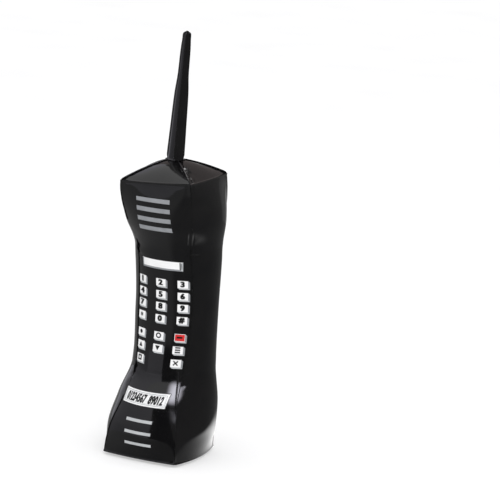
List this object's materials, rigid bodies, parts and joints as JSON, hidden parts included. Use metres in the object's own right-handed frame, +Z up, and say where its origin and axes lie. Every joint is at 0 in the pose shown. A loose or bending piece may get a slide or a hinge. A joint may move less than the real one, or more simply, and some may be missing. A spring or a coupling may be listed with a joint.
{
  "type": "inflatable toy phone",
  "caption": "Inflatable toy cell phone of welded glossy PVC film, with an overlong antenna and a push-in inflation valve on its back.",
  "frame": {"origin": "on the floor, under the middle of the flat part of the base", "axes": "+Z up along the phone towards the antenna, -Y out of the keypad side, +X to the right as seen from the keypad side"},
  "size_m": [0.1894, 0.1995, 0.7571],
  "materials": {
    "black_film": "glossy black PVC film, 0.3 mm",
    "valve_vinyl": "soft translucent grey PVC moulding"
  },
  "bodies": {
    "body": {"front_panel": "black_film", "back_panel": "black_film", "left_panel": "black_film", "right_panel": "black_film", "base_panel": "black_film", "top_front_gore": "black_film", "top_right_gore": "black_film", "top_back_gore": "black_film", "top_left_gore": "black_film", "antenna_front_right_gore": "black_film", "antenna_back_right_gore": "black_film", "antenna_back_left_gore": "black_film", "antenna_front_left_gore": "black_film", "valve_flange": "valve_vinyl"},
    "stem": {"valve_stem": "valve_vinyl"},
    "plug": {"valve_plug": "valve_vinyl"},
    "flap": {"check_flap": "valve_vinyl"}
  },
  "joints": [
    {"name": "stem_slide", "type": "slide", "parent": "body", "child": "stem", "axis": [0, 1, 0], "range_m": [0, 0.012]},
    {"name": "plug_hinge", "type": "hinge", "parent": "stem", "child": "plug", "pos_m": [0, 0.10679, 0.267], "axis": [-1, 0, 0], "range_deg": [0, 120]},
    {"name": "flap_hinge", "type": "hinge", "parent": "stem", "child": "flap", "pos_m": [0, 0.08989, 0.2794], "axis": [-1, 0, 0], "range_deg": [0, 45], "stiffness_Nm_per_rad": 0.0002}
  ]
}
